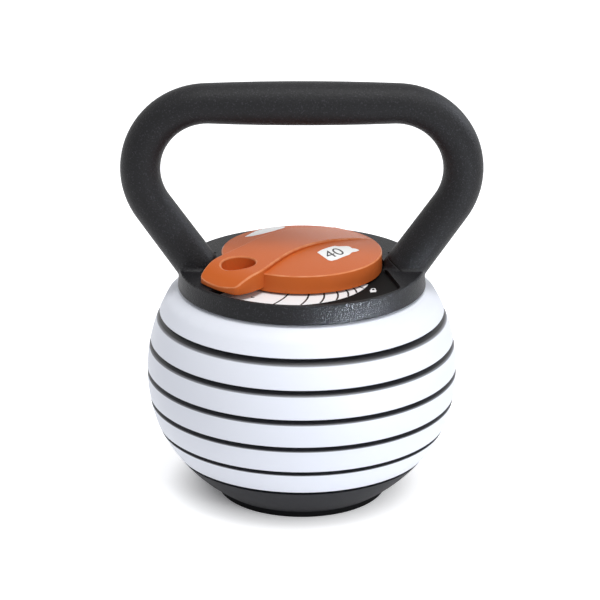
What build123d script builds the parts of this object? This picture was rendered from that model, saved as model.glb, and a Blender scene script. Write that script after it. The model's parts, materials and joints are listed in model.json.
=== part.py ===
from build123d import *

import os
from math import atan, cos, degrees, radians, sin, sqrt, tan

# Adjustable kettlebell. Six round weight plates stack on a base, and the handle casting sits on top.
# A selector rod hangs from the handle through the middle of the stack. Turning the orange dial turns
# the rod's six cams one after another under the webs of the plates, which then lift with the handle.
# Millimetres, +Z up, origin on the floor under the middle of the foot, handle in the XZ plane.

os.makedirs("parts", exist_ok=True)

# ---------------------------------------------------------------- driving dimensions
PLATES = 6
PITCH = 19.0  # height of one plate in the stack
STACK_Z = 30.0  # underside of the lowest plate
BALL_R = 102.1  # outside of the ball
BALL_Z = 84.2
BELLY_R = 105.5  # the ball is a little flatter towards the foot
BELLY_Z = 93.1
PLATE_MASS = 2.268  # kg: five pounds
IRON = 7.2e-6  # kg per cubic millimetre

# plates
GAP = 1.5  # clear height between two plates outside their seats
SHOULDER_SLOPE = 33.0  # degrees below level
SHOULDER_IN = 3.0  # how far inside the edge above the shoulder starts
SEAT_W = 4.0
SEAT_IN = 7.0  # from the edge above to the seat
WALL = 12.0  # thickness of a plate's outer wall at the bottom
EDGE_BREAK = 0.5
HUB_R = 38.0
WEB = 8.0  # thickness of the web that the cams lift
POCKET_R = 28.0
PEG_R = 4.0
PEG_HEIGHT = 4.0  # above the seat
PEG_CIRCLE_R = 60.0
BOSS_R = 8.5
RIB_W = 6.0
PEG_ANGLES = (90, 210, 330)

# selector
LUG_R = 26.0
LUG_CLEARANCE = 1.0
CORE_R = 13.0  # outside of the spacers and the hubs of the cams
CORE_CLEARANCE = 0.6
CAM_T = 5.0
CAM_DROP = 0.5  # play between a cam and the web above it
OPENING = 112.0  # degrees, each of the two openings in a web
LUG_START = 1.0  # degrees behind the opening's edge, at rest
LUG_LEAD = 5.4  # degrees that a lug reaches under its web at its own dial position
FIRST_STEP = 44.0  # degrees the dial turns to the first plate
NEXT_STEP = 12.6
STEP_RATIO = 0.88
ROD_R = 10.0
ROD_FLATS = 17.0
ROD_END_Z = 24.0
THREAD_R = 8.0
NUT_FLATS = 22.0
NUT_T = 8.0
WASHER_T = 2.0
JOURNAL_R = 12.0
FLANGE_R = 33.0
FLANGE_Z = 156.0
FLANGE_T = 3.0
DRIVE_SQUARE = 12.0
DRIVE_T = 4.0

# handle casting
RING_R = 81.2
RING_TOP_R = 80.0
RING_Z = 142.7
RING_TOP = 155.4
LIP_W = 4.2  # the lip that hides the seat of the top plate
WELL_R = 54.2
WELL_Z = 152.0
RECESS_R = 77.8
RECESS_CORNER = 9.0
RECESS_STOP = ((52.6, 2.0), (64.6, -50.0))  # line of the wall where the recess ends
SMALL_HOLE_R = 1.6
SMALL_HOLE_AT = (58.2, 24.2)
SMALL_HOLE_DEPTH = 3.0
BOSS_TOP_R = 17.0
BOSS_TOP_Z = 154.0
BUSH_R = 14.5
BUSH_FLANGE_R = 19.0
BUSH_FLANGE_T = 2.0
GRIP_Z = 264.65
GRIP_R = 14.2
GRIP_HALF = 60.45
TUBE_R = 13.05
BEND_R = 43.9
LEG_LEAN = 35.0  # degrees from upright
FOOT_R = 13.7
FOOT_BLEND = 3.0

# dial
DIAL_R = 52.4
DIAL_Z = 153.8
DIAL_RIM = 165.6
DIAL_RISE = 1.4
CROWN_AT = 16.7
CROWN_Z = 169.4  # highest point of the ridge, this far out along the arm
CROWN_R = 595.0
ARM_AZ = 220.4  # degrees, direction of the lever arm at rest
ARM_Z = 156.4
ARM_TIP = 75.1
ARM_TIP_FROM = -10.7  # degrees, the tip's arc seen from the dial's axis
ARM_TIP_SPAN = 26.9
ARM_CORNER_R = 4.0
ARM_ROOT = 24.0
NOSE_AT = 56.0
NOSE_END = (76.2, 157.4)
CREST_R = 1.2
FINGER_R = 11.0
FINGER_AT = (52.2, -1.2)
FINGER_FLOOR = 158.6
DIAL_WALL = 3.2
DIAL_HOLLOW = 7.6
ARM_HOLLOW = 4.4
ARM_HOLLOW_W = 28.0
DIAL_HUB_R = 10.0
DIAL_RIB = 2.0
SCREW_CIRCLE_R = 21.0
SCREW_ANGLES = (30, 150, 270)
SCREW_R = 2.0
SCREW_HEAD_R = 3.6
SCREW_HEAD_T = 2.2
SCREW_BOSS_R = 4.6
SCREW_END_Z = 163.0

# detent
BALL_R_SMALL = 3.0
DETENT_CIRCLE_R = 29.0
DETENT_ANGLES = (90, 270)
DETENT_HOLE_Z = 146.0

# base
BASE_TOP = 28.0
BASE_UNDER = 4.0
CUP_R = 20.0
CUP_Z = 20.0
FOOT_OUT = 56.0
FOOT_IN = 44.0
FOOT_GROOVE = 1.0
GUSSETS = 12
GUSSET_L = 5.0


def plate_bottom(number):
    """Underside of a plate. Plate 1 is the top one."""
    return STACK_Z + PITCH * (PLATES - number)


def ball_radius(z):
    """Radius of the ball's outside at a height."""
    upper = sqrt(BALL_R**2 - (z - BALL_Z) ** 2)
    lower = sqrt(BELLY_R**2 - (z - BELLY_Z) ** 2)
    return min(upper, lower)


def dial_position(number):
    """Dial angle, from rest, at which a plate is held."""
    steps = [NEXT_STEP * STEP_RATIO**i for i in range(number - 1)]
    return FIRST_STEP + sum(steps)


def sector(r_in, r_out, start, width):
    """Flat sector of a ring, from an angle on through a width in degrees."""
    with BuildSketch() as shape:
        with BuildLine():
            outer = CenterArc((0, 0), r_out, start, width)
            inner = CenterArc((0, 0), r_in, start, width)
            Line(outer @ 0, inner @ 0)
            Line(outer @ 1, inner @ 1)
        make_face()
    return shape.sketch


def around(radius, angles):
    """Points on a circle about the middle."""
    return [(radius * cos(radians(a)), radius * sin(radians(a))) for a in angles]


def on_circle(edge, centre, radius):
    """Whether an edge lies on an upright cylinder."""
    points = [edge @ 0, edge @ 0.5, edge @ 1]
    return all(abs((Vector(p.X, p.Y) - Vector(*centre)).length - radius) < 0.01 for p in points)


def save(piece, name):
    piece.label = name
    export_step(piece, f"parts/{name}.step")


# ---------------------------------------------------------------- weight plates
def stack_outline(low, shoulder_r, shoulder_z):
    """Half section of one slice of the ball, under its sloping shoulder."""
    reach = BALL_R + 10
    drop = (reach - shoulder_r) * tan(radians(SHOULDER_SLOPE))
    with BuildSketch() as outline:
        with BuildLine():
            Polyline(
                (0, low - PITCH),
                (reach, low - PITCH),
                (reach, shoulder_z - drop),
                (shoulder_r, shoulder_z),
                (0, shoulder_z),
                close=True,
            )
        make_face()
        with Locations((0, BALL_Z)):
            Circle(BALL_R, mode=Mode.INTERSECT)
        with Locations((0, BELLY_Z)):
            Circle(BELLY_R, mode=Mode.INTERSECT)
        with Locations((0, low)):
            Rectangle(reach, shoulder_z - low, align=(Align.MIN, Align.MIN), mode=Mode.INTERSECT)
    return outline.sketch


def make_plate(number):
    """Cast iron plate: web with two openings for the lugs, hub, seat, pegs and a weight recess below."""
    low = plate_bottom(number)
    seat_z = low + PITCH
    deck_z = seat_z - GAP
    web_z = seat_z - WEB
    edge_above = RING_R if number == 1 else ball_radius(plate_bottom(number - 1))
    shoulder_r = edge_above - SHOULDER_IN
    seat_r = edge_above - SEAT_IN
    with BuildPart() as plate:
        with BuildSketch(Plane.XZ):
            add(stack_outline(low, shoulder_r, deck_z))
        revolve(axis=Axis.Z)
        edge = plate.edges().group_by(Axis.Z)[0].sort_by(SortBy.RADIUS)[-1]
        chamfer(edge, EDGE_BREAK)
        # seat ring and hub, level with the underside of the piece above
        with BuildSketch(Plane.XY.offset(deck_z)):
            Circle(seat_r)
            Circle(seat_r - SEAT_W, mode=Mode.SUBTRACT)
            Circle(HUB_R)
        extrude(amount=GAP)
        # pegs that keep the piece above from turning
        with BuildSketch(Plane.XY.offset(deck_z)):
            with Locations(around(PEG_CIRCLE_R, PEG_ANGLES)):
                Circle(PEG_R)
        extrude(amount=GAP + PEG_HEIGHT)
        chamfer(plate.edges().group_by(Axis.Z)[-1], 1.0)
        # pocket in which this plate's cam turns
        with BuildSketch(Plane.XY.offset(low)):
            Circle(POCKET_R)
        extrude(amount=PITCH - WEB, mode=Mode.SUBTRACT)
        # the two openings and the bore
        with BuildSketch(Plane.XY.offset(web_z)):
            Circle(CORE_R + CORE_CLEARANCE)
            add(sector(CORE_R, LUG_R + LUG_CLEARANCE, 0, OPENING))
            add(sector(CORE_R, LUG_R + LUG_CLEARANCE, 180, OPENING))
        extrude(amount=WEB, mode=Mode.SUBTRACT)
        # sockets for the pegs of the piece below
        with BuildSketch(Plane.XY.offset(low)):
            with Locations(around(PEG_CIRCLE_R, PEG_ANGLES)):
                Circle(PEG_R + 0.5)
        extrude(amount=PEG_HEIGHT + 1, mode=Mode.SUBTRACT)
        # the recess underneath is as deep as the plate's weight needs
        with BuildSketch(Plane.XY.offset(low)) as recess:
            Circle(ball_radius(low) - WALL)
            Circle(HUB_R, mode=Mode.SUBTRACT)
            with PolarLocations(0, 3):
                Rectangle(2 * BALL_R, RIB_W, mode=Mode.SUBTRACT)
            with Locations(around(PEG_CIRCLE_R, PEG_ANGLES)):
                Circle(BOSS_R, mode=Mode.SUBTRACT)
        depth = (plate.part.volume - PLATE_MASS / IRON) / recess.sketch.area
        extrude(amount=depth, mode=Mode.SUBTRACT)
    print(f"plate_{number}: recess {depth:.1f} deep, {plate.part.volume * IRON:.3f} kg")
    return plate.part


# ---------------------------------------------------------------- base
def make_base():
    """Moulded base: the bottom slice of the ball, with a cup for the end of the rod and ribs underneath."""
    edge_above = ball_radius(STACK_Z)
    with BuildPart() as base:
        with BuildSketch(Plane.XZ):
            add(stack_outline(BASE_UNDER, edge_above - 2, BASE_TOP))
        revolve(axis=Axis.Z)
        with BuildSketch(Plane.XY.offset(BASE_TOP)):
            Circle(edge_above - SEAT_IN)
            Circle(edge_above - SEAT_IN - SEAT_W, mode=Mode.SUBTRACT)
            Circle(HUB_R)
        extrude(amount=STACK_Z - BASE_TOP)
        with BuildSketch(Plane.XY.offset(BASE_TOP)):
            with Locations(around(PEG_CIRCLE_R, PEG_ANGLES)):
                Circle(PEG_R)
        extrude(amount=STACK_Z - BASE_TOP + PEG_HEIGHT)
        chamfer(base.edges().group_by(Axis.Z)[-1], 1.0)
        with BuildSketch(Plane.XY.offset(CUP_Z)):
            Circle(CUP_R)
        extrude(amount=STACK_Z - CUP_Z, mode=Mode.SUBTRACT)
        with BuildSketch(Plane.XY.offset(BASE_UNDER)):
            Circle(FOOT_OUT)
            Circle(FOOT_IN, mode=Mode.SUBTRACT)
        extrude(amount=FOOT_GROOVE, mode=Mode.SUBTRACT)
        # recess underneath, with short gussets round its wall
        with BuildSketch(Plane.XY.offset(BASE_UNDER)):
            Circle(FOOT_IN - 4)
            with PolarLocations(FOOT_IN - 4, GUSSETS):
                Rectangle(2 * GUSSET_L, 3, mode=Mode.SUBTRACT)
        extrude(amount=CUP_Z - BASE_UNDER - 4, mode=Mode.SUBTRACT)
    return base.part


def make_foot():
    """Rubber ring that the kettlebell stands on, pressed into the groove under the base."""
    with BuildPart() as foot:
        with BuildSketch():
            Circle(FOOT_OUT)
            Circle(FOOT_IN, mode=Mode.SUBTRACT)
        extrude(amount=BASE_UNDER + FOOT_GROOVE)
        chamfer(foot.edges().group_by(Axis.Z)[0], EDGE_BREAK)
    return foot.part


# ---------------------------------------------------------------- handle casting
def make_bow():
    """Grip, bends and legs of the handle. The right half is made and mirrored."""
    lean = radians(LEG_LEAN)
    bend_x = GRIP_HALF + BEND_R * cos(lean)
    bend_z = GRIP_Z - BEND_R - BEND_R * sin(lean)
    leg = (bend_z - RING_Z + 2 * TUBE_R) / cos(lean)
    with BuildPart() as bow:
        # the grip is a little fuller in the middle
        with BuildSketch(Plane.XZ):
            with BuildLine():
                barrel = ThreePointArc(
                    (-GRIP_HALF, GRIP_Z + TUBE_R), (0, GRIP_Z + GRIP_R), (GRIP_HALF, GRIP_Z + TUBE_R)
                )
                Polyline(barrel @ 1, (GRIP_HALF, GRIP_Z), (-GRIP_HALF, GRIP_Z), barrel @ 0)
            make_face()
        revolve(axis=Axis((0, 0, GRIP_Z), (1, 0, 0)))
        with BuildSketch(Plane.YZ.offset(GRIP_HALF)):
            with Locations((0, GRIP_Z)):
                Circle(TUBE_R)
        revolve(axis=Axis((GRIP_HALF, 0, GRIP_Z - BEND_R), (0, 1, 0)), revolution_arc=90 + LEG_LEAN)
        with BuildSketch(Plane(origin=(bend_x, 0, bend_z), z_dir=(-sin(lean), 0, -cos(lean)))):
            Circle(TUBE_R)
        extrude(amount=leg, taper=-degrees(atan((FOOT_R - TUBE_R) / (leg - 2 * TUBE_R))))
        mirror(about=Plane.YZ)
        split(bisect_by=Plane.XY.offset(RING_Z + 2), keep=Keep.TOP)
    return bow.part


def recess_outline():
    """Flat recess round the front of the dial that holds the scale, from under the lever arm at rest on."""
    with BuildSketch() as recess:
        add(sector(WELL_R - 2, RECESS_R, ARM_AZ, 270 - ARM_AZ))
        with BuildLine():
            stop = Line(*RECESS_STOP)
            Polyline(stop @ 1, (stop @ 1 + (0, -RECESS_R)), (0, -RECESS_R), (0, 0), stop @ 0, stop @ 1)
        make_face()
        Circle(RECESS_R, mode=Mode.INTERSECT)
        Circle(WELL_R - 2, mode=Mode.SUBTRACT)
        corners = [v for v in recess.vertices() if abs(Vector(v.X, v.Y).length - RECESS_R) < 0.1]
        fillet(sorted(corners, key=lambda v: v.X)[-1:], RECESS_CORNER)
    return recess.sketch


def make_handle():
    """One iron casting: the ring that carries the dial and the bow of the handle, blended at its feet."""
    seat_z = STACK_Z + PITCH * PLATES
    bow = make_bow()
    with BuildPart() as ring:
        with BuildSketch(Plane.XZ):
            with BuildLine():
                Polyline(
                    (BUSH_R, seat_z),
                    (RING_R - LIP_W, seat_z),
                    (RING_R - LIP_W, RING_Z),
                    (RING_R, RING_Z),
                    (RING_TOP_R, RING_TOP),
                    (BUSH_R, RING_TOP),
                    close=True,
                )
            make_face()
        revolve(axis=Axis.Z)
        fillet(ring.edges().group_by(Axis.Z)[-1].sort_by(SortBy.RADIUS)[-1], 1.2)
    with BuildPart() as handle:
        add(ring.part)
        add(bow)
        fillet(new_edges(ring.part, bow, combined=handle.part), FOOT_BLEND)
        chamfer(handle.edges().group_by(Axis.Z)[0].sort_by(SortBy.RADIUS)[-1], EDGE_BREAK)
        # well for the dial, which also trims the feet of the bow, round the boss for the bush
        with BuildSketch(Plane.XY.offset(WELL_Z)):
            Circle(WELL_R)
            Circle(BOSS_TOP_R, mode=Mode.SUBTRACT)
        extrude(amount=2 * TUBE_R, mode=Mode.SUBTRACT)
        with BuildSketch(Plane.XY.offset(BOSS_TOP_Z)):
            Circle(BOSS_TOP_R)
        extrude(amount=TUBE_R, mode=Mode.SUBTRACT)
        with BuildSketch(Plane.XY.offset(WELL_Z)):
            add(recess_outline())
        extrude(amount=RING_TOP - WELL_Z, mode=Mode.SUBTRACT)
        # two small holes in the ring's top, beside the legs
        with BuildSketch(Plane.XY.offset(RING_TOP)):
            with Locations(SMALL_HOLE_AT, (-SMALL_HOLE_AT[0], SMALL_HOLE_AT[1])):
                Circle(SMALL_HOLE_R)
        extrude(amount=-SMALL_HOLE_DEPTH, mode=Mode.SUBTRACT)
        # underneath: counterbore for the bush's flange, and sockets for the top plate's pegs
        with BuildSketch(Plane.XY.offset(seat_z)):
            Circle(BUSH_FLANGE_R)
        extrude(amount=BUSH_FLANGE_T, mode=Mode.SUBTRACT)
        with BuildSketch(Plane.XY.offset(seat_z)):
            with Locations(around(PEG_CIRCLE_R, PEG_ANGLES)):
                Circle(PEG_R + 0.5)
        extrude(amount=PEG_HEIGHT + 1, mode=Mode.SUBTRACT)
        # blind holes for the detent springs
        with BuildSketch(Plane.XY.offset(DETENT_HOLE_Z)):
            with Locations(around(DETENT_CIRCLE_R, DETENT_ANGLES)):
                Circle(BALL_R_SMALL + 0.1)
        extrude(amount=PITCH, mode=Mode.SUBTRACT)
    return handle.part


# ---------------------------------------------------------------- selector
def rod_outline():
    """Section of the rod where the cams sit: a round with two flats that turn the cams with it."""
    with BuildSketch() as section:
        Circle(ROD_R)
        Rectangle(2 * ROD_R, ROD_FLATS, mode=Mode.INTERSECT)
    return section.sketch


def cam_top(number):
    return plate_bottom(number) + PITCH - WEB - CAM_DROP


def make_cam(number):
    """Steel cam with two lugs. The further the dial turns before its plate is held, the narrower they are."""
    width = OPENING + LUG_LEAD - dial_position(number) - LUG_START
    with BuildPart() as cam:
        with BuildSketch(Plane.XY.offset(cam_top(number) - CAM_T)):
            Circle(CORE_R)
            add(sector(CORE_R - 1, LUG_R, LUG_START, width))
            add(sector(CORE_R - 1, LUG_R, LUG_START + 180, width))
            add(rod_outline(), mode=Mode.SUBTRACT)
        extrude(amount=CAM_T)
        chamfer(cam.edges().filter_by(GeomType.CIRCLE).sort_by(SortBy.RADIUS)[-4:], 0.6)
    return cam.part


def make_spacers():
    """Tubes on the rod, one above each cam, that hold the cams a plate's height apart."""
    top = STACK_Z + PITCH * PLATES - 0.3
    with BuildPart() as spacers:
        for number in range(1, PLATES + 1):
            end = top if number == 1 else cam_top(number - 1) - CAM_T
            with BuildSketch(Plane.XY.offset(cam_top(number))):
                Circle(CORE_R)
                Circle(ROD_R, mode=Mode.SUBTRACT)
            extrude(amount=end - cam_top(number))
    return spacers.part


def make_rod():
    """Steel rod: thread for the end nut, flats for the cams, journal, flange and square for the dial."""
    cams_low = cam_top(PLATES) - CAM_T
    shoulder = STACK_Z + PITCH * PLATES - 0.3
    with BuildPart() as rod:
        with BuildSketch(Plane.XY.offset(ROD_END_Z)):
            Circle(THREAD_R)
        extrude(amount=cams_low - ROD_END_Z)
        chamfer(rod.edges().group_by(Axis.Z)[0], 1.0)
        with BuildSketch(Plane.XY.offset(cams_low)):
            add(rod_outline())
        extrude(amount=shoulder - cams_low)
        with BuildSketch(Plane.XY.offset(shoulder)):
            Circle(JOURNAL_R)
        extrude(amount=FLANGE_Z - shoulder)
        with BuildSketch(Plane.XY.offset(FLANGE_Z)):
            Circle(FLANGE_R)
            with Locations(around(SCREW_CIRCLE_R, [ARM_AZ + a for a in SCREW_ANGLES])):
                Circle(SCREW_R + 0.3, mode=Mode.SUBTRACT)
        extrude(amount=FLANGE_T)
        with BuildSketch(Plane.XY.offset(FLANGE_Z + FLANGE_T)):
            Rectangle(DRIVE_SQUARE, DRIVE_SQUARE, rotation=ARM_AZ)
        extrude(amount=DRIVE_T)
        # a dimple over each ball at every position of the dial
        stops = [0] + [dial_position(number) for number in range(1, PLATES + 1)]
        dimples = [angle - stop for angle in DETENT_ANGLES for stop in stops]
        with BuildSketch(Plane.XY.offset(FLANGE_Z)):
            with Locations(around(DETENT_CIRCLE_R, dimples)):
                Circle(1.7)
        extrude(amount=0.8, taper=45, mode=Mode.SUBTRACT)
    return rod.part


def make_end_washer():
    cams_low = cam_top(PLATES) - CAM_T
    with BuildPart() as washer:
        with BuildSketch(Plane.XY.offset(cams_low - WASHER_T)):
            Circle(CORE_R)
            Circle(THREAD_R, mode=Mode.SUBTRACT)
        extrude(amount=WASHER_T)
    return washer.part


def make_end_nut():
    top = cam_top(PLATES) - CAM_T - WASHER_T
    with BuildPart() as nut:
        with BuildSketch(Plane.XY.offset(top - NUT_T)):
            RegularPolygon(NUT_FLATS / 2, 6, major_radius=False)
            Circle(THREAD_R, mode=Mode.SUBTRACT)
        extrude(amount=NUT_T)
    return nut.part


def make_bush():
    """Flanged bronze bush pressed into the ring. The rod's journal turns in it."""
    seat_z = STACK_Z + PITCH * PLATES
    with BuildPart() as bush:
        with BuildSketch(Plane.XY.offset(seat_z)):
            Circle(BUSH_R)
        extrude(amount=BOSS_TOP_Z - seat_z)
        with BuildSketch(Plane.XY.offset(seat_z)):
            Circle(BUSH_FLANGE_R)
        extrude(amount=BUSH_FLANGE_T)
        with BuildSketch(Plane.XY.offset(seat_z)):
            Circle(JOURNAL_R + 0.05)
        extrude(amount=PITCH, mode=Mode.SUBTRACT)
    return bush.part


def make_thrust_washer():
    """Washer on the ring's boss. The rod's flange hangs on it, with every plate that is picked up."""
    with BuildPart() as washer:
        with BuildSketch(Plane.XY.offset(BOSS_TOP_Z)):
            Circle(BOSS_TOP_R)
            Circle(JOURNAL_R + 0.3, mode=Mode.SUBTRACT)
        extrude(amount=FLANGE_Z - BOSS_TOP_Z)
    return washer.part


# ---------------------------------------------------------------- detent
def make_detent_balls():
    """Two balls that click into the flange's dimples, here held down as they are between two dimples."""
    with BuildPart() as balls:
        ball_z = FLANGE_Z - 0.1 - BALL_R_SMALL
        with Locations([(x, y, ball_z) for x, y in around(DETENT_CIRCLE_R, DETENT_ANGLES)]):
            Sphere(BALL_R_SMALL)
    return balls.part


def make_detent_springs():
    """Coil springs under the balls."""
    wire = 0.35
    low = DETENT_HOLE_Z + wire
    high = FLANGE_Z - 0.1 - 2 * BALL_R_SMALL - wire
    coil_r = 1.6
    with BuildPart() as spring:
        with BuildLine():
            coil = Helix(pitch=(high - low) / 3, height=high - low, radius=coil_r, center=(0, 0, low))
        with BuildSketch(Plane(origin=coil @ 0, z_dir=coil % 0)):
            RegularPolygon(wire, 6)
        sweep(is_frenet=True)
    with BuildPart() as springs:
        with Locations([(x, y, 0) for x, y in around(DETENT_CIRCLE_R, DETENT_ANGLES)]):
            add(spring.part)
    return springs.part


# ---------------------------------------------------------------- dial
def ridge_outline():
    """Outline of the ridge and lever arm that cross the top of the dial, with the arm along +X."""
    with BuildSketch(mode=Mode.PRIVATE) as disc:
        Circle(DIAL_R - 1)
        Rectangle(2 * DIAL_R, 2 * ARM_ROOT, align=(Align.MIN, Align.CENTER))
    with BuildSketch() as ridge:
        with BuildLine():
            tip = CenterArc((0, 0), ARM_TIP, ARM_TIP_FROM, ARM_TIP_SPAN)
            near = ((54, 21.4), (40, 16.4), (15, 6.2), (-5.7, 1.8), (-20.7, 1.7), (-34.3, 4.9), (-52, 17))
            front = Spline(tip @ 1, *near)
            far = ((56.6, -18.8), (35.4, -23.4), (8.2, -30.8), (-4.5, -32.6), (-18.1, -31.3), (-52, -20))
            back = Spline(tip @ 0, *far)
            Line(front @ 1, back @ 1)
        make_face()
        fillet(ridge.vertices().sort_by(Axis.X)[-2:], ARM_CORNER_R)
        add(disc.sketch, mode=Mode.INTERSECT)
    return ridge.sketch


def crown_section():
    """Section along the ridge: a shallow crown that falls away in a round nose at the arm's tip."""
    with BuildSketch() as section:
        with BuildLine():
            ends = [(x, CROWN_Z - (x - CROWN_AT) ** 2 / (2 * CROWN_R)) for x in (-ARM_TIP, NOSE_AT)]
            crown = ThreePointArc(ends[0], (CROWN_AT, CROWN_Z), ends[1])
            nose = TangentArc(crown @ 1, NOSE_END, tangent=crown % 1)
            Polyline(nose @ 1, (NOSE_END[0], ARM_Z), (-ARM_TIP, ARM_Z), crown @ 0)
        make_face()
    return section.sketch


def make_ridge():
    with BuildPart() as ridge:
        with BuildSketch(Plane.XY.offset(ARM_Z)):
            add(ridge_outline())
        extrude(amount=CROWN_Z + 1 - ARM_Z)
        with BuildSketch(Plane.XZ):
            add(crown_section())
        extrude(amount=DIAL_R, both=True, mode=Mode.INTERSECT)
        tops = [e for e in ridge.edges() if e.geom_type == GeomType.BSPLINE and e.center().Z > ARM_Z + 1]
        sides = [e for e in tops if max((e @ 0).X, (e @ 1).X) > ARM_ROOT and abs(e.center().Y) > ARM_CORNER_R]
        fillet(sides, CREST_R)
    return ridge.part


def make_dial():
    """Moulded dial knob: disc, ridge and lever arm with a finger cup, hollow and ribbed underneath."""
    with BuildPart() as dial:
        with BuildSketch(Plane.XY.offset(DIAL_Z)):
            Circle(DIAL_R)
        extrude(amount=DIAL_RIM + DIAL_RISE - DIAL_Z)
        dome_r = (DIAL_R**2 + DIAL_RISE**2) / (2 * DIAL_RISE)
        with Locations((0, 0, DIAL_RIM + DIAL_RISE - dome_r)):
            Sphere(dome_r, mode=Mode.INTERSECT)
        chamfer(dial.edges().group_by(SortBy.LENGTH)[-1].sort_by(Axis.Z)[-1], 0.7)
        add(make_ridge())
        # hollow underneath: under the disc, and in the arm
        with BuildSketch(Plane.XY.offset(DIAL_Z)):
            Circle(DIAL_R - DIAL_WALL - 0.7)
        extrude(amount=DIAL_HOLLOW, mode=Mode.SUBTRACT)
        with BuildSketch(Plane.XY.offset(ARM_Z)):
            Circle(FINGER_AT[0] + FINGER_R)
            Circle(DIAL_R, mode=Mode.SUBTRACT)
            Rectangle(ARM_TIP, ARM_HOLLOW_W, align=(Align.MIN, Align.CENTER), mode=Mode.INTERSECT)
        extrude(amount=ARM_HOLLOW, mode=Mode.SUBTRACT)
        # hub on the rod's square, bosses for the screws, ribs out to the rim
        with BuildSketch(Plane.XY.offset(FLANGE_Z + FLANGE_T)):
            Circle(DIAL_HUB_R)
            with Locations(around(SCREW_CIRCLE_R, SCREW_ANGLES)):
                Circle(SCREW_BOSS_R)
        extrude(amount=DIAL_RIM - FLANGE_Z - FLANGE_T)
        with BuildSketch(Plane.XY.offset(FLANGE_Z)):
            with PolarLocations(FLANGE_R + 1.5, 6, 60):
                Rectangle(DIAL_R - FLANGE_R - 3, DIAL_RIB, align=(Align.MIN, Align.CENTER))
        extrude(amount=DIAL_RIM - FLANGE_Z - 1)
        # finger cup in its collar
        with BuildSketch(Plane.XY.offset(ARM_Z)):
            with Locations(FINGER_AT):
                Circle(FINGER_R + DIAL_WALL)
        extrude(amount=DIAL_Z + DIAL_HOLLOW + 0.5 - ARM_Z)
        with BuildSketch(Plane.XY.offset(FINGER_FLOOR)):
            with Locations(FINGER_AT):
                Circle(FINGER_R)
        extrude(amount=CROWN_Z - FINGER_FLOOR, mode=Mode.SUBTRACT)
        rim = [e for e in dial.edges().filter_by(GeomType.BSPLINE) if on_circle(e, FINGER_AT, FINGER_R)]
        fillet(rim, CREST_R)
        # square hole and pilot holes
        with BuildSketch(Plane.XY.offset(FLANGE_Z)):
            Rectangle(DRIVE_SQUARE, DRIVE_SQUARE)
        extrude(amount=FLANGE_T + DRIVE_T, mode=Mode.SUBTRACT)
        with BuildSketch(Plane.XY.offset(FLANGE_Z)):
            with Locations(around(SCREW_CIRCLE_R, SCREW_ANGLES)):
                Circle(SCREW_R)
        extrude(amount=SCREW_END_Z - FLANGE_Z, mode=Mode.SUBTRACT)
    return dial.part


def make_dial_screws():
    """Three pan head screws that hold the dial down on the rod's flange, from below."""
    with BuildPart() as screws:
        with BuildSketch(Plane.XY.offset(FLANGE_Z - SCREW_HEAD_T)):
            with Locations(around(SCREW_CIRCLE_R, SCREW_ANGLES)):
                Circle(SCREW_HEAD_R)
        extrude(amount=SCREW_HEAD_T)
        chamfer(screws.edges().group_by(Axis.Z)[0], 0.6)
        with BuildSketch(Plane.XY.offset(FLANGE_Z)):
            with Locations(around(SCREW_CIRCLE_R, SCREW_ANGLES)):
                Circle(SCREW_R)
        extrude(amount=SCREW_END_Z - FLANGE_Z)
    return screws.part


for number in range(1, PLATES + 1):
    save(make_plate(number), f"plate_{number}")
    save(make_cam(number), f"selector_cam_{number}")
save(make_base(), "base_tray")
save(make_foot(), "base_foot")
save(make_handle(), "handle_casting")
save(make_bush(), "hub_bush")
save(make_thrust_washer(), "thrust_washer")
save(make_rod(), "selector_rod")
save(make_spacers(), "cam_spacers")
save(make_end_washer(), "end_washer")
save(make_end_nut(), "end_nut")
save(make_detent_balls(), "detent_balls")
save(make_detent_springs(), "detent_springs")
save(make_dial().rotate(Axis.Z, ARM_AZ), "dial_knob")
save(make_dial_screws().rotate(Axis.Z, ARM_AZ), "dial_screws")
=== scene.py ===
import json
from math import cos, hypot, pi, radians, sin, sqrt, tan

import bmesh
import bpy
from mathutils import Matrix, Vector


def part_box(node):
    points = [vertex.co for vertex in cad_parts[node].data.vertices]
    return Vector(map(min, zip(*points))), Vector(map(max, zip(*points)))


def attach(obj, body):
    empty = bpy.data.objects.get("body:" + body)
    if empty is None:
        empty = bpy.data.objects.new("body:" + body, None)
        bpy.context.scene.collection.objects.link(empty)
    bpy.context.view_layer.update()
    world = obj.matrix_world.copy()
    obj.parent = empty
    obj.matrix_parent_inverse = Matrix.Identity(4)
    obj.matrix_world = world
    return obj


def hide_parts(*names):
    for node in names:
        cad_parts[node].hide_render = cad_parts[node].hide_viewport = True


# Adjustable kettlebell: base, six white plates, black handle casting, orange dial and the selector inside.
# Metres, +Z up, the origin on the floor under the middle of the foot.

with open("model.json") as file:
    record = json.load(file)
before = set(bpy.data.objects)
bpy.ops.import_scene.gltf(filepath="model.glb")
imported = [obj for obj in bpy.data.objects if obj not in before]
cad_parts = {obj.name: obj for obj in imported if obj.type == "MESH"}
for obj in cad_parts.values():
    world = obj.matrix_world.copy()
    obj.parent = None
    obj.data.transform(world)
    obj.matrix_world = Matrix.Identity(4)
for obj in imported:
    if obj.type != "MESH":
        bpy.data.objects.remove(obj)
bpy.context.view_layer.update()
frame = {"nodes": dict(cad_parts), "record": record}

# ---------------------------------------------------------------- camera
# A long lens that looks down a little on the ball, square to the grip.
# It is aimed at the axis of the stack.
mm = 0.001
AIM = Vector((0, 0, 125.05 * mm))
DISTANCE = 1.755
ELEVATION = radians(19.89)


def add_object(name, data):
    """New object in the scene for a camera, a lamp, a mesh or a curve."""
    added = bpy.data.objects.new(name, data)
    bpy.context.scene.collection.objects.link(added)
    return added


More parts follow.
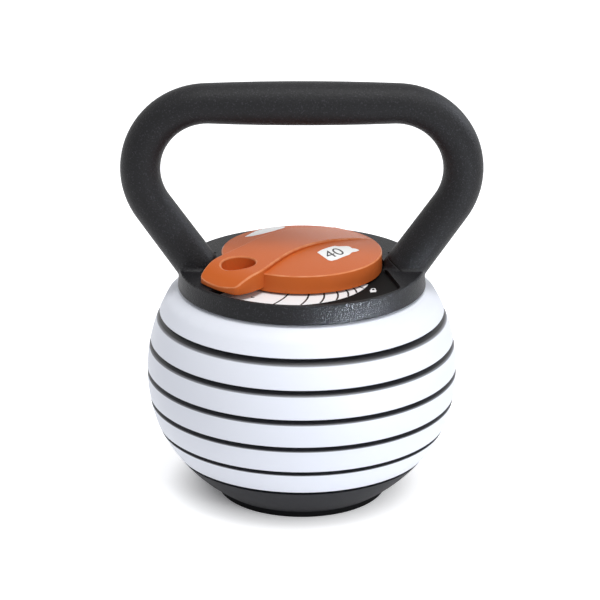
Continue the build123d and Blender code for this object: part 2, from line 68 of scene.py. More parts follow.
camera_data = bpy.data.cameras.new("camera")
camera_data.sensor_width = 36
camera_data.lens = 160.1
camera_data.shift_x = -0.003
camera_data.shift_y = 0.014
camera_data.clip_end = 50
camera = add_object("camera", camera_data)
camera.location = AIM + Vector((0, -DISTANCE * cos(ELEVATION), DISTANCE * sin(ELEVATION)))
camera.rotation_euler = (pi / 2 - ELEVATION, 0, 0)
bpy.context.scene.camera = camera

# ---------------------------------------------------------------- studio
# White table and white surroundings, with a large soft lamp above, a smaller one from the front right
# and a weak one low on the right that lifts the underside of the ball.
bpy.context.scene.view_settings.view_transform = "Standard"


def calc(tree, operation, first, second):
    """Output of a new node that does one operation on two values, each a number or an output."""
    node = tree.nodes.new("ShaderNodeMath")
    node.operation = operation
    for socket, value in zip(node.inputs, (first, second)):
        if isinstance(value, (int, float)):
            socket.default_value = value
        else:
            tree.links.new(value, socket)
    return node.outputs[0]


def graded(tree, value, start, end, low, high):
    """Runs from low to high as the value runs from start to end, and stays level on both sides."""
    node = tree.nodes.new("ShaderNodeMapRange")
    for name, limit in (("From Min", start), ("From Max", end), ("To Min", low), ("To Max", high)):
        node.inputs[name].default_value = limit
    tree.links.new(value, node.inputs["Value"])
    return node.outputs["Result"]


def seen_directly(tree):
    """One where the studio is looked at, straight or in a reflection, and nought where it lights."""
    path = tree.nodes.new("ShaderNodeLightPath")
    seen = path.outputs["Is Camera Ray"]
    for ray in ("Is Glossy Ray", "Is Transmission Ray"):
        seen = calc(tree, "MAXIMUM", seen, path.outputs[ray])
    return seen


def make_surroundings():
    """White to look at, and a weak cool light from all sides on the object."""
    surroundings = bpy.data.worlds.new("studio")
    surroundings.use_nodes = True
    tree = surroundings.node_tree
    light = tree.nodes["Background"]
    light.inputs["Color"].default_value = (0.93, 0.95, 1, 1)
    light.inputs["Strength"].default_value = 0.4
    white = tree.nodes.new("ShaderNodeBackground")
    white.inputs["Color"].default_value = (1, 1, 1, 1)
    white.inputs["Strength"].default_value = 1
    choose = tree.nodes.new("ShaderNodeMixShader")
    tree.links.new(seen_directly(tree), choose.inputs[0])
    tree.links.new(light.outputs[0], choose.inputs[1])
    tree.links.new(white.outputs[0], choose.inputs[2])
    tree.links.new(choose.outputs[0], tree.nodes["World Output"].inputs["Surface"])
    return surroundings


def soft_lamp(name, place, size, watts, colour):
    """Square area lamp at a place, turned towards the object."""
    lamp_data = bpy.data.lights.new(name, "AREA")
    lamp_data.size = size
    lamp_data.energy = watts
    lamp_data.color = colour
    lamp = add_object(name, lamp_data)
    lamp.location = place
    lamp.rotation_euler = (AIM - Vector(place)).to_track_quat("-Z", "Y").to_euler()
    return lamp


bpy.context.scene.world = make_surroundings()
soft_lamp("key", (0.75, -1.5, 0.95), size=0.4, watts=5, colour=(0.98, 0.99, 1))
soft_lamp("top", (0.25, -0.5, 2), size=1, watts=28, colour=(1, 1, 1))
soft_lamp("card", (0.38, -0.36, 0.02), size=0.2, watts=0.9, colour=(0.82, 0.9, 1))

# The table's own white, which stands for the open sky over it, fades out under the ball as a painted
# shadow.
TABLE_HALF = 3
SHADE_AT = (-8 * mm, 10 * mm, 0)
SHADE_FROM = 84 * mm
SHADE_TO = 54 * mm
OPEN_WHITE = 0.67
SHADED_WHITE = 0.1


def new_material(name):
    """Material, its node tree and the shader in it."""
    material = bpy.data.materials.new(name)
    material.use_nodes = True
    return material, material.node_tree, material.node_tree.nodes["Principled BSDF"]


def make_table_white():
    """Dull white table top, with a painted shadow where the ball hides the sky from it."""
    material, tree, shader = new_material("table_white")
    place = tree.nodes.new("ShaderNodeTexCoord")
    away = tree.nodes.new("ShaderNodeVectorMath")
    away.operation = "DISTANCE"
    away.inputs[1].default_value = SHADE_AT
    tree.links.new(place.outputs["Object"], away.inputs[0])
    white = graded(tree, away.outputs["Value"], SHADE_TO, SHADE_FROM, SHADED_WHITE, OPEN_WHITE)
    tree.links.new(calc(tree, "MULTIPLY", seen_directly(tree), white), shader.inputs["Emission Strength"])
    shader.inputs["Emission Color"].default_value = (1, 1, 1, 1)
    shader.inputs["Base Color"].default_value = (0.95, 0.95, 0.96, 1)
    shader.inputs["Roughness"].default_value = 0.7
    shader.inputs["Specular IOR Level"].default_value = 0.2
    return material


table_mesh = bpy.data.meshes.new("table_top")
table_corners = [(x * TABLE_HALF, y * TABLE_HALF, 0) for x, y in ((-1, -1), (1, -1), (1, 1), (-1, 1))]
table_mesh.from_pydata(table_corners, [], [(0, 1, 2, 3)])
table_mesh.materials.append(make_table_white())
floor = add_object("table_top", table_mesh)

# ---------------------------------------------------------------- base
# Black moulded base: the lowest slice of the ball, with a rubber ring pressed in under it.
# Its skin is satin plastic with a fine spark-eroded grain.
SAME_POINT = 1e-6
SHARP_EDGE = radians(30)
UNEVENNESS = 0.05


def finished_skin(node, material):
    """Merged copy of a solid, smooth between its sharp edges, which stands for it on the same body."""
    mesh = frame["nodes"][node].data.copy()
    mesh.name = node + "_skin"
    mesh.materials.clear()
    mesh.materials.append(material)
    shape = bmesh.new()
    shape.from_mesh(mesh)
    bmesh.ops.remove_doubles(shape, verts=shape.verts, dist=SAME_POINT)
    bmesh.ops.dissolve_degenerate(shape, edges=shape.edges, dist=SAME_POINT)
    for face in shape.faces:
        face.smooth = True
    for edge in shape.edges:
        edge.smooth = len(edge.link_faces) == 2 and edge.calc_face_angle() < SHARP_EDGE
    shape.to_mesh(mesh)
    shape.free()
    piece = add_object(node + "_skin", mesh)
    weigh = piece.modifiers.new("flat faces stay flat", "WEIGHTED_NORMAL")
    weigh.keep_sharp = True
    weigh.weight = 100
    bodies = frame["record"]["behaviour"]["bodies"]
    body = next(name for name, members in bodies.items() if node in members)
    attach(piece, body)
    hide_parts(node)
    return piece


def make_grain_group():
    """Fine grain of a moulded or coated skin: a normal, and a mask that wanders slowly over the piece."""
    group = bpy.data.node_groups.new("skin grain", "ShaderNodeTree")
    for name in ("Grains per metre", "Depth"):
        group.interface.new_socket(name, in_out="INPUT", socket_type="NodeSocketFloat")
    group.interface.new_socket("Normal", in_out="OUTPUT", socket_type="NodeSocketVector")
    group.interface.new_socket("Mottle", in_out="OUTPUT", socket_type="NodeSocketFloat")
    nodes, links = group.nodes, group.links
    entry = nodes.new("NodeGroupInput")
    leave = nodes.new("NodeGroupOutput")
    place = nodes.new("ShaderNodeTexCoord")
    fine = nodes.new("ShaderNodeTexNoise")
    fine.inputs["Detail"].default_value = 3
    fine.inputs["Roughness"].default_value = 0.6
    slow = nodes.new("ShaderNodeTexNoise")
    slow.inputs["Scale"].default_value = 14
    slow.inputs["Detail"].default_value = 4
    bump = nodes.new("ShaderNodeBump")
    bump.inputs["Distance"].default_value = 0.4 * mm
    links.new(place.outputs["Object"], fine.inputs["Vector"])
    links.new(place.outputs["Object"], slow.inputs["Vector"])
    links.new(entry.outputs["Grains per metre"], fine.inputs["Scale"])
    links.new(entry.outputs["Depth"], bump.inputs["Strength"])
    links.new(fine.outputs["Fac"], bump.inputs["Height"])
    links.new(bump.outputs["Normal"], leave.inputs["Normal"])
    links.new(slow.outputs["Fac"], leave.inputs["Mottle"])
    return group


grain = make_grain_group()


def grained(name, colour, other_colour, roughness, grains, depth, specular=0.5):
    """Material with a number of grains to the metre, whose colour and roughness wander a little."""
    material, tree, shader = new_material(name)
    skin = tree.nodes.new("ShaderNodeGroup")
    skin.node_tree = grain
    skin.inputs["Grains per metre"].default_value = grains
    skin.inputs["Depth"].default_value = depth
    mottle = skin.outputs["Mottle"]
    tint = tree.nodes.new("ShaderNodeMix")
    tint.data_type = "RGBA"
    tint.inputs["A"].default_value = (*colour, 1)
    tint.inputs["B"].default_value = (*other_colour, 1)
    tree.links.new(mottle, tint.inputs["Factor"])
    tree.links.new(tint.outputs["Result"], shader.inputs["Base Color"])
    uneven = graded(tree, mottle, 0, 1, roughness - UNEVENNESS, roughness + UNEVENNESS)
    tree.links.new(uneven, shader.inputs["Roughness"])
    tree.links.new(skin.outputs["Normal"], shader.inputs["Normal"])
    shader.inputs["Specular IOR Level"].default_value = specular
    return material


base_black = grained("black moulded base", (0.02, 0.02, 0.023), (0.027, 0.027, 0.03),
                     roughness=0.55, grains=1500, depth=0.12, specular=0.1)
foot_black = grained("black rubber", (0.004, 0.004, 0.005), (0.007, 0.007, 0.007),
                     roughness=0.7, grains=900, depth=0.3, specular=0.08)
finished_skin("base_tray", base_black)
finished_skin("base_foot", foot_black)

# ---------------------------------------------------------------- plates
# Cast iron plates, five pounds each, that stack to a ball, finished in white satin enamel. The sloping
# shoulder under the plate above carries painted shade, black under the edge and fading out; what plates
# cover is primed black.
PLATES = 6
PITCH = 19 * mm
GAP = 1.5 * mm
SHOULDER_IN = 3 * mm
SHOULDER_SLOPE = radians(33)
SHOULDER_DEEPEST = 8 * mm
RING_EDGE = 81.2 * mm
# The ball is what two spheres have in common: the radius of each, and the height of its middle.
SPHERES = ((102.1 * mm, 84.2 * mm), (105.5 * mm, 93.1 * mm))
# The painted shade reaches a little lower on each plate down, and fades out over the last part of the
# groove:
# shares of the groove's depth, and how dark the painted shade is there.
SHADE_REACHES_LOWER = 0.15 * mm
GROOVE_SHADE_FADE = ((0.72, 1), (0.9, 0.75), (1, 0))
PRIMER_AND_SHADE_BLACK = (0.004, 0.004, 0.006)


def ball_radius(z):
    return min(sqrt(radius**2 - (z - middle) ** 2) for radius, middle in SPHERES)


def groove_shade_limits(number):
    """A plate's top, the depth of the painted shade below it, and the radius within which all of it is
    primed.
    """
    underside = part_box(f"plate_{number}")[0].z
    top = underside + PITCH
    edge_above = RING_EDGE if number == 1 else ball_radius(top)
    covered = edge_above - SHOULDER_IN
    # The shoulder slopes down from there to the outside of the ball, which halving finds.
    low, high = 0, SHOULDER_DEEPEST
    for _ in range(30):
        drop = (low + high) / 2
        if covered + drop / tan(SHOULDER_SLOPE) < ball_radius(top - GAP - drop):
            low = drop
        else:
            high = drop
    # The top plate's shoulder is enamelled, and the painted shade covers only the gap over it.
    groove = GAP + drop + SHADE_REACHES_LOWER * (number - 1) if number > 1 else GAP
    return top, groove, min(covered, ball_radius(underside) - SHOULDER_IN)


def make_groove_shade_group():
    """Mask of the painted shade in the groove, and of the primed part that other plates cover."""
    group = bpy.data.node_groups.new("primer in the groove", "ShaderNodeTree")
    for name in ("Top", "Groove", "Covered"):
        group.interface.new_socket(name, in_out="INPUT", socket_type="NodeSocketFloat")
    group.interface.new_socket("Mask", in_out="OUTPUT", socket_type="NodeSocketFloat")
    nodes, links = group.nodes, group.links
    entry = nodes.new("NodeGroupInput")
    leave = nodes.new("NodeGroupOutput")
    place = nodes.new("ShaderNodeTexCoord")
    split = nodes.new("ShaderNodeSeparateXYZ")
    links.new(place.outputs["Object"], split.inputs[0])
    below = calc(group, "SUBTRACT", entry.outputs["Top"], split.outputs["Z"])
    fade = nodes.new("ShaderNodeValToRGB")
    fade.color_ramp.elements.new(GROOVE_SHADE_FADE[1][0])
    for stop, (share, shown) in zip(fade.color_ramp.elements, GROOVE_SHADE_FADE):
        stop.position = share
        stop.color = (shown, shown, shown, 1)
    links.new(calc(group, "DIVIDE", below, entry.outputs["Groove"]), fade.inputs["Fac"])
    level = nodes.new("ShaderNodeCombineXYZ")
    links.new(split.outputs["X"], level.inputs["X"])
    links.new(split.outputs["Y"], level.inputs["Y"])
    radius = nodes.new("ShaderNodeVectorMath")
    radius.operation = "LENGTH"
    links.new(level.outputs[0], radius.inputs[0])
    within = calc(group, "LESS_THAN", radius.outputs["Value"], entry.outputs["Covered"])
    links.new(calc(group, "MAXIMUM", fade.outputs["Color"], within), leave.inputs["Mask"])
    return group


def paint_over(material, colour, mask):
    """Lay a colour over what the material has, as thickly as the mask says."""
    tree = material.node_tree
    coat = tree.nodes["Principled BSDF"].inputs["Base Color"]
    cover = tree.nodes.new("ShaderNodeMix")
    cover.data_type = "RGBA"
    cover.inputs["B"].default_value = (*colour, 1)
    tree.links.new(mask, cover.inputs["Factor"])
    tree.links.new(coat.links[0].from_socket, cover.inputs["A"])
    tree.links.new(cover.outputs["Result"], coat)


shade_and_primer = make_groove_shade_group()
for number in range(1, PLATES + 1):
    enamel = grained(f"white enamel {number}", (0.76, 0.785, 0.85), (0.79, 0.81, 0.87),
                     roughness=0.42, grains=420, depth=0.05, specular=0.45)
    masked = enamel.node_tree.nodes.new("ShaderNodeGroup")
    masked.node_tree = shade_and_primer
    for name, limit in zip(("Top", "Groove", "Covered"), groove_shade_limits(number)):
        masked.inputs[name].default_value = limit
    # Painted shade: the groove under the plate above is laid black, fading out downwards.
    paint_over(enamel, PRIMER_AND_SHADE_BLACK, masked.outputs["Mask"])
    finished_skin(f"plate_{number}", enamel)

# ---------------------------------------------------------------- handle casting
# Ring and bow handle, cast in one and powder coated black. The coat has a fine even texture, and a thin
# line runs round each leg where the bow meets its foot on the ring.
LEG_LEAN = radians(35)
SEAM_AT = (67.2 * mm, 153.9 * mm)
SEAM_FROM_Z = 155.7 * mm
SEAM_DARK = 0.2 * mm
SEAM_HALF = 0.6 * mm
SEAM_BLACK = (0.001, 0.001, 0.001)
GLINTS_FROM = 0.6
GLINTS_FULL = 0.68


def add_leg_seams(material):
    """Dark line with a small step across both legs, on the plane square to each leg through its foot."""
    tree = material.node_tree
    nodes, links = tree.nodes, tree.links
    place = nodes.new("ShaderNodeTexCoord")
    split = nodes.new("ShaderNodeSeparateXYZ")
    links.new(place.outputs["Object"], split.inputs[0])
    outwards = calc(tree, "SUBTRACT", calc(tree, "ABSOLUTE", split.outputs["X"], 0), SEAM_AT[0])
    upwards = calc(tree, "SUBTRACT", split.outputs["Z"], SEAM_AT[1])
    out_part = calc(tree, "MULTIPLY", outwards, sin(LEG_LEAN))
    up_part = calc(tree, "MULTIPLY", upwards, cos(LEG_LEAN))
    away = calc(tree, "ABSOLUTE", calc(tree, "ADD", out_part, up_part), 0)
    line = graded(tree, away, SEAM_DARK, SEAM_HALF, 1, 0)
    seam = calc(tree, "MULTIPLY", line, calc(tree, "GREATER_THAN", split.outputs["Z"], SEAM_FROM_Z))
    paint_over(material, SEAM_BLACK, seam)
    step = nodes.new("ShaderNodeBump")
    step.invert = True
    step.inputs["Distance"].default_value = 0.4 * mm
    normal = nodes["Principled BSDF"].inputs["Normal"]
    links.new(normal.links[0].from_socket, step.inputs["Normal"])
    links.new(seam, step.inputs["Height"])
    links.new(step.outputs["Normal"], normal)


def add_painted_glints(material, colour):
    """Painted glints: small pale specks in the colour, where light would catch the raised grains of the
    coat.
    """
    tree = material.node_tree
    place = tree.nodes.new("ShaderNodeTexCoord")
    spots = tree.nodes.new("ShaderNodeTexNoise")
    spots.inputs["Scale"].default_value = 1100
    spots.inputs["Detail"].default_value = 1
    tree.links.new(place.outputs["Object"], spots.inputs["Vector"])
    paint_over(material, colour, graded(tree, spots.outputs["Fac"], GLINTS_FROM, GLINTS_FULL, 0, 1))


def keep_to_gloss(lamps, piece):
    """Let lamps show only as shine, and only on one piece."""
    reached = bpy.data.collections.new("reached by the " + lamps[0].name)
    reached.objects.link(piece)
    for lamp in lamps:
        lamp.visible_diffuse = False
        lamp.light_linking.receiver_collection = reached


powder_black = grained("black powder coat", (0.006, 0.006, 0.007), (0.009, 0.009, 0.01),
                       roughness=0.48, grains=900, depth=0.9, specular=0.2)
# Pale specks painted into the coat's colour stand for glints on its grain.
add_painted_glints(powder_black, (0.028, 0.027, 0.032))
add_leg_seams(powder_black)
casting = finished_skin("handle_casting", powder_black)

# Two lamps draw only the soft bluish shine of the coat, on the side of the ring and on the bends.
ring_sheen = soft_lamp("sheen on the ring", (0.42, -0.46, 0.03), size=0.08, watts=0.18,
                       colour=(0.75, 0.85, 1))
ring_sheen.data.spread = radians(12)
bend_sheen = soft_lamp("sheen on the bends", (1, 0.35, 0.8), size=0.5, watts=9, colour=(0.85, 0.9, 1))
keep_to_gloss([ring_sheen, bend_sheen], casting)

# ---------------------------------------------------------------- dial
# Orange moulded knob: a shallow dome with a ridge across it that runs out into a lever arm. Three screws
# from below hold it on the rod's flange. Its rounded edges are paler, partly dust and wear, partly a
# painted highlight.
EDGE_WIDTH = 1.4 * mm
EDGE_ANGLE = radians(3)
EDGE_UPWARDS = (0.15, 0.985)
PALE_EDGE_FROM = 0.35
PALE_EDGE_FULL = 0.65


def mark_edges(mesh):
    """Mark the faces on rounded outer edges: narrow, bent away from a neighbour, and facing partly up."""
    shape = bmesh.new()
    shape.from_mesh(mesh)
    marks = []
    for face in shape.faces:
        shared = [edge for edge in face.edges if len(edge.link_faces) == 2]
        bent = max(shared, key=lambda edge: edge.calc_face_angle_signed())
        narrow = 2 * face.calc_area() / bent.calc_length() < EDGE_WIDTH
        turned = bent.calc_face_angle_signed() > EDGE_ANGLE
        sloping = EDGE_UPWARDS[0] < face.normal.z < EDGE_UPWARDS[1]
        marks.append(float(narrow and turned and sloping))
    shape.free()
    layer = mesh.attributes.new("rounded edge", "FLOAT", "FACE")
    layer.data.foreach_set("value", marks)


def add_pale_edges(material, colour, most, least):
    """Paler colour on the faces marked as rounded edges, here more and there less: dust, wear and painted
    highlight.
    """
    tree = material.node_tree
    place = tree.nodes.new("ShaderNodeTexCoord")
    patches = tree.nodes.new("ShaderNodeTexNoise")
    patches.inputs["Scale"].default_value = 120
    tree.links.new(place.outputs["Object"], patches.inputs["Vector"])
    wear_and_highlight = graded(tree, patches.outputs["Fac"], PALE_EDGE_FROM, PALE_EDGE_FULL, least, most)
    mark = tree.nodes.new("ShaderNodeAttribute")
    mark.attribute_name = "rounded edge"
    paint_over(material, colour, calc(tree, "MULTIPLY", mark.outputs["Fac"], wear_and_highlight))


dial_orange = grained("orange moulded plastic", (0.55, 0.12, 0.026), (0.58, 0.132, 0.03),
                      roughness=0.3, grains=1800, depth=0.2, specular=0.05)
# The pale edges are partly dust and wear and partly a painted highlight where light from above catches
# them.
add_pale_edges(dial_orange, (0.8, 0.38, 0.2), most=0.55, least=0.22)
dial = finished_skin("dial_knob", dial_orange)
mark_edges(dial.data)

# A lamp behind draws the pale shine on the far half of the dome, and lights nothing else.
dome_sheen = soft_lamp("sheen on the dome", (0.1, 1.3, 0.26), size=0.2, watts=0.45, colour=(1, 1, 1))
keep_to_gloss([dome_sheen], dial)

# ---------------------------------------------------------------- tags on the dial
# Two thin tags of white film, stuck on the dome on both sides of the ridge. The front one has a plain
# number printed on it in black, and the back one is blank.
DIAL_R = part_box("dial_knob")[1].x  # the arm points the other way
DIAL_RIM = 165.6 * mm
DIAL_RISE = 1.4 * mm
TAG_THICK = 0.15 * mm
TAG_ROUNDING = 0.8
FRONT_TAG = ((10.0, -9.0), (12.5, -4.5), (18.0, 1.8), (21.6, 4.7), (24.0, 3.6), (29.6, 4.9),
             (31.5, 3.7), (32.6, 0.6), (35.4, 0.0), (37.6, -3.0), (35.4, -5.8), (32.6, -7.1),
             (30.9, -12.2), (26.6, -16.9), (22.4, -22.4), (19.1, -24.9), (17.0, -23.6), (14.3, -18.1))
BACK_TAG = ((-37.8, 25.8), (-34.0, 33.0), (-30.1, 39.6), (-26.0, 43.6), (-20.6, 46.8), (-13.4, 49.0),
            (-10.9, 48.2), (-11.6, 45.4), (-18.9, 37.7), (-26.3, 31.6), (-32.8, 27.1))
NUMBER_LIFT = TAG_THICK + 0.01 * mm
NUMBER_THICK = 0.05 * mm
NUMBER_THINNED = -0.004


def on_dome(x, y, lift):
    """Point on the dial's dome, or lifted off it. The place is in millimetres, the lift in metres."""
    r = hypot(x, y) * mm
    return (x * mm, y * mm, DIAL_RIM + DIAL_RISE * (1 - (r / DIAL_R) ** 2) + lift)


def spaced(start, end, steps):
    """Evenly spaced numbers from start to end."""
    return [start + (end - start) * k / steps for k in range(steps + 1)]


def bend(start, corner, end, steps):
    """Points on the curve that sets out and comes in along the lines to a corner."""
    return [start * (1 - t) ** 2 + corner * 2 * t * (1 - t) + end * t**2 for t in spaced(0, 1, steps)]


def rounded(corners, radius):
    """Outline through the given corners, each rounded off."""
    outline = []
    for k, corner in enumerate(corners):
        here = Vector(corner)
        before = (Vector(corners[k - 1]) - here).normalized()
        after = (Vector(corners[(k + 1) % len(corners)]) - here).normalized()
        outline += bend(here + before * radius, here, here + after * radius, 5)
    return outline


def thicken(shape, thickness):
    """Give a thin sheet its thickness, upwards from where it lies."""
    raised = bmesh.ops.extrude_face_region(shape, geom=shape.faces[:])["geom"]
    for vert in (part for part in raised if isinstance(part, bmesh.types.BMVert)):
        vert.co.z += thickness


def put_in_order(parts, place):
    """Number corners or faces by where they are, so that a shape comes out the same each time."""
    for k, part in enumerate(sorted(parts, key=place)):
        part.index = k
    parts.sort()


def closed_piece(name, shape, material):
    """Piece of one material with a closed shape."""
    bmesh.ops.recalc_face_normals(shape, faces=shape.faces[:])
    put_in_order(shape.verts, lambda vert: vert.co[:])
    put_in_order(shape.faces, lambda face: sorted(vert.index for vert in face.verts))
    mesh = bpy.data.meshes.new(name)
    shape.to_mesh(mesh)
    shape.free()
    mesh.materials.append(material)
    return add_object(name, mesh)


def draped(name, outline, material):
    """Tag that lies on the dome: an outline in millimetres, filled and cut small enough to follow it."""
    shape = bmesh.new()
    shape.faces.new([shape.verts.new((x, y, 0)) for x, y in outline])
    bmesh.ops.triangulate(shape, faces=shape.faces[:])
    bmesh.ops.subdivide_edges(shape, edges=shape.edges[:], cuts=3, use_grid_fill=True)
    for vert in shape.verts:
        vert.co = on_dome(vert.co.x, vert.co.y, 0)
    thicken(shape, TAG_THICK)
    return closed_piece(name, shape, material)


def plain_mesh(drawn):
    """Mesh of a text or of drawn lines, in place of the object that they were drawn with."""
    bpy.context.view_layer.update()
    mesh = bpy.data.meshes.new_from_object(drawn.evaluated_get(bpy.context.evaluated_depsgraph_get()))
    bpy.data.objects.remove(drawn)
    return mesh


def number_on_dome(name, words, origin, across, up, material):
    """Number printed on a tag: its lower left corner, and its width and height as steps in millimetres."""
    text = bpy.data.curves.new(name, "FONT")
    text.body = words
    text.offset = NUMBER_THINNED
    flat = plain_mesh(add_object(name + "_curve", text))
    left, right = (pick(vert.co.x for vert in flat.vertices) for pick in (min, max))
    bottom, top = (pick(vert.co.y for vert in flat.vertices) for pick in (min, max))
    shape = bmesh.new()
    shape.from_mesh(flat)
    bpy.data.meshes.remove(flat)
    bmesh.ops.remove_doubles(shape, verts=shape.verts, dist=SAME_POINT)
    for vert in shape.verts:
        u = (vert.co.x - left) / (right - left)
        v = (vert.co.y - bottom) / (top - bottom)
        x, y = (origin[k] + u * across[k] + v * up[k] for k in (0, 1))
        vert.co = on_dome(x, y, NUMBER_LIFT)
    thicken(shape, NUMBER_THICK)
    return closed_piece(name, shape, material)


tag_white = grained("printed tag", (0.88, 0.88, 0.87), (0.92, 0.92, 0.91),
                    roughness=0.35, grains=2500, depth=0.03)
print_black = grained("printing ink", (0.02, 0.018, 0.018), (0.04, 0.035, 0.035),
                      roughness=0.5, grains=2500, depth=0.03)
front_tag = draped("front_tag", rounded(FRONT_TAG, TAG_ROUNDING), tag_white)
back_tag = draped("back_tag", rounded(BACK_TAG, TAG_ROUNDING), tag_white)
number_40 = number_on_dome("number_40", "40", origin=(18.3, -20.8), across=(10.3, 10.9), up=(-5.6, 10.9),
                           material=print_black)
for piece in (front_tag, back_tag, number_40):
    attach(piece, "selector")

# ---------------------------------------------------------------- scale
# White scale printed on a black ground on the floor of the ring's recess: a crescent whose outer edge is
# a circle off the dial's axis, divided by curved strokes between the dial's positions. It has a small
# arrowhead printed on its wide end, and a white padlock beside the narrow one.
FLOOR_Z = 152 * mm
PRINT_THICK = 0.08 * mm
INK_THICK = 0.04 * mm
STROKE_THICK = 0.06 * mm
GROUND_Z = FLOOR_Z + 0.02 * mm
WHITE_Z = GROUND_Z + PRINT_THICK
INK_Z = WHITE_Z + PRINT_THICK

# Outlines are in millimetres, and in degrees round the dial's axis. The ground fills the recess up to its
# end wall; from there on a narrow band of it lies in the well under the dial as a dark sheet of painted
# shade.
GROUND_IN = 50.0
RECESS_OUT = 77.3
RECESS_ENDS = (222, 320.5)
RECESS_WALL = [(61.7, -45.6), (62.6, -42.0), (52.6, 1.0)]
SHADE_BAND_OUT = 54.0
SHADE_BAND_ENDS = (1, 220)
SCALE_IN = 46.0
SCALE_R = 54.5
SCALE_MIDDLE = Vector((-9.65, -14.9))
SCALE_ENDS = (223, 325)
SCALE_LEAST = 0.5
# Each stroke's inner and outer end, and how far it bows back and outwards between them.
STROKES = ((260.4, 254.7), (275.8, 269.5), (287.3, 280.1), (297.6, 290.3), (305.8, 299.1), (313.0, 307.3),
           (318.7, 316.9))
STROKE_BACK = 1.4
STROKE_OUT = 1.0
STROKE_SHORT = 0.2
STROKE_WIDTH = 1.2
ARROWHEAD = [(-32.4, -53.0), (-32.2, -55.6), (-29.6, -54.6)]
LOCK_BODY = [(43.4, -40.6), (47.8, -40.6), (47.4, -44.0), (43.8, -44.8)]
SHACKLE = [(44.6, -40.8), (44.4, -38.6), (45.2, -37.2), (46.5, -37.0), (47.0, -38.4), (46.9, -40.8)]
SHACKLE_WIDTH = 0.8


def polar(azimuth, r):
    return Vector((r * cos(radians(azimuth)), r * sin(radians(azimuth))))


def arc(r, ends, steps):
    return [polar(azimuth, r) for azimuth in spaced(*ends, steps)]


def scale_edge(azimuth):
    """Distance from the dial's axis to the scale's outer edge, in millimetres."""
    along = polar(azimuth, 1).dot(SCALE_MIDDLE)
    return along + sqrt(along**2 - SCALE_MIDDLE.length_squared + SCALE_R**2)


def stroke(inner, outer):
    """Curved line across the scale."""
    edge = scale_edge(outer)
    bowed = polar(inner - STROKE_BACK, (SCALE_IN + edge) / 2 + STROKE_OUT)
    return bend(polar(inner, SCALE_IN), bowed, polar(outer, edge - STROKE_SHORT), 9)


def flat_plate(name, outline, low, thickness, material):
    """Thin flat plate with a given outline in millimetres, riding on the casting."""
    shape = bmesh.new()
    shape.faces.new([shape.verts.new((x * mm, y * mm, low)) for x, y in outline])
    thicken(shape, thickness)
    bmesh.ops.triangulate(shape, faces=[face for face in shape.faces if len(face.verts) > 4])
    piece = closed_piece(name, shape, material)
    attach(piece, "handle")


def make_stroke_tree():
    """Geometry nodes: turns drawn lines into flat printed strokes of a given width and thickness."""
    tree = bpy.data.node_groups.new("printed strokes", "GeometryNodeTree")
    inputs = (("Geometry", "NodeSocketGeometry"), ("Width", "NodeSocketFloat"),
              ("Thickness", "NodeSocketFloat"), ("Ink", "NodeSocketMaterial"))
    named = {}
    for name, kind in inputs:
        named[name] = tree.interface.new_socket(name, in_out="INPUT", socket_type=kind).identifier
    tree.interface.new_socket("Geometry", in_out="OUTPUT", socket_type="NodeSocketGeometry")
    nodes, links = tree.nodes, tree.links
    entry = nodes.new("NodeGroupInput")
    leave = nodes.new("NodeGroupOutput")
    even = nodes.new("GeometryNodeResampleCurve")
    even.inputs["Count"].default_value = 16
    section = nodes.new("GeometryNodeCurvePrimitiveQuadrilateral")
    sweep = nodes.new("GeometryNodeCurveToMesh")
    sweep.inputs["Fill Caps"].default_value = True
    real = nodes.new("GeometryNodeRealizeInstances")
    paint = nodes.new("GeometryNodeSetMaterial")
    links.new(entry.outputs["Geometry"], even.inputs["Curve"])
    links.new(entry.outputs["Width"], section.inputs["Width"])
    links.new(entry.outputs["Thickness"], section.inputs["Height"])
    links.new(even.outputs["Curve"], sweep.inputs["Curve"])
    links.new(section.outputs["Curve"], sweep.inputs["Profile Curve"])
    links.new(sweep.outputs["Mesh"], real.inputs["Geometry"])
    links.new(real.outputs["Geometry"], paint.inputs["Geometry"])
    links.new(entry.outputs["Ink"], paint.inputs["Material"])
    links.new(paint.outputs["Geometry"], leave.inputs["Geometry"])
    return tree, named


strokes, stroke_inputs = make_stroke_tree()


def printed(name, lines, width, height, material):
    """Lines in millimetres, printed on the casting at a height as strokes of a width."""
    curve = bpy.data.curves.new(name, "CURVE")
    curve.dimensions = "3D"
    for line in lines:
        spline = curve.splines.new("POLY")
        spline.points.add(len(line) - 1)
        for point, (x, y) in zip(spline.points, line):
            point.co = (x * mm, y * mm, height, 1)
    drawn = add_object(name + "_lines", curve)
    modifier = drawn.modifiers.new("strokes", "NODES")
    modifier.node_group = strokes
    for socket, value in (("Width", width * mm), ("Thickness", STROKE_THICK), ("Ink", material)):
        modifier[stroke_inputs[socket]] = value
    mesh = plain_mesh(drawn)
    mesh.name = name
    piece = add_object(name, mesh)
    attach(piece, "handle")


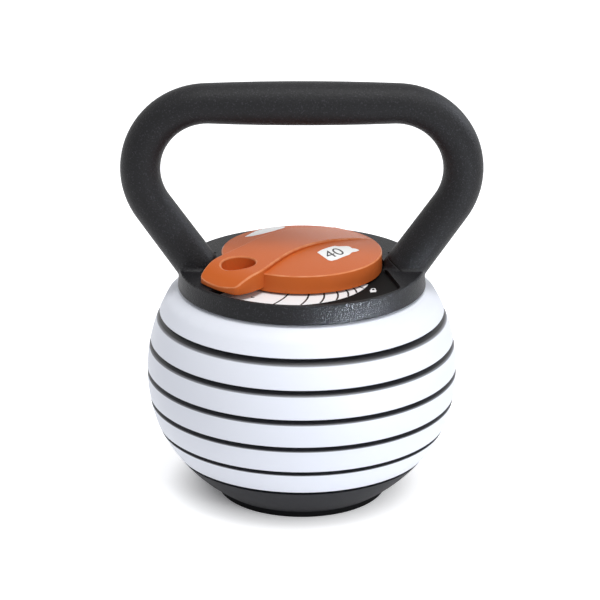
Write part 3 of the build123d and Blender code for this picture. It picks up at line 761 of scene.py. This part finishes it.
scale_print = grained("white of the scale", (0.9, 0.94, 0.95), (0.93, 0.965, 0.975),
                      roughness=0.35, grains=2500, depth=0.03)
scale_black_and_shade = grained("black of the scale and painted shade", (0.0015, 0.0015, 0.0015), (0.004, 0.004, 0.004),
                      roughness=0.75, grains=1500, depth=0.1, specular=0.15)
# The band in the well is black as painted shade; over the recess the black is the scale's printed ground.
ground = arc(RECESS_OUT, RECESS_ENDS, 60) + RECESS_WALL + arc(SHADE_BAND_OUT, SHADE_BAND_ENDS, 80)
ground += arc(GROUND_IN, (SHADE_BAND_ENDS[1], RECESS_ENDS[0] - 360), 120)
flat_plate("scale_ground", ground, GROUND_Z, PRINT_THICK, scale_black_and_shade)
crescent = []
for azimuth in spaced(*SCALE_ENDS, 80):
    crescent.append(polar(azimuth, max(scale_edge(azimuth), SCALE_IN + SCALE_LEAST)))
crescent += arc(SCALE_IN, SCALE_ENDS[::-1], 80)
flat_plate("scale_white", crescent, WHITE_Z, PRINT_THICK, scale_print)
lines = [stroke(*ends) for ends in STROKES]
printed("scale_strokes", lines, STROKE_WIDTH, INK_Z + INK_THICK / 2, print_black)
flat_plate("scale_marker", ARROWHEAD, INK_Z, INK_THICK, print_black)
flat_plate("lock_body", LOCK_BODY, WHITE_Z, PRINT_THICK, scale_print)
printed("lock_shackle", [SHACKLE], SHACKLE_WIDTH, WHITE_Z + PRINT_THICK / 2, scale_print)

# ---------------------------------------------------------------- selector and fittings
# Zinc plated steel rod with a cam for each plate, spacers, end washer and nut, the dial's screws, and the
# two sprung balls that the dial clicks on. The rod turns in a bush pressed into the ring and hangs on a
# washer over it, both of sintered bronze.
STEEL_NODES = ["selector_rod", "cam_spacers", "end_washer", "end_nut", "dial_screws", "detent_balls",
               "detent_springs"]

zinc = grained("zinc plate", (0.34, 0.35, 0.37), (0.5, 0.51, 0.52),
               roughness=0.36, grains=700, depth=0.12)
bronze = grained("sintered bronze", (0.32, 0.2, 0.09), (0.42, 0.27, 0.13),
                 roughness=0.45, grains=1600, depth=0.3)
for metal in (zinc, bronze):
    metal.node_tree.nodes["Principled BSDF"].inputs["Metallic"].default_value = 1
for node in STEEL_NODES + [f"selector_cam_{number}" for number in range(1, PLATES + 1)]:
    finished_skin(node, zinc)
for node in ("hub_bush", "thrust_washer"):
    finished_skin(node, bronze)
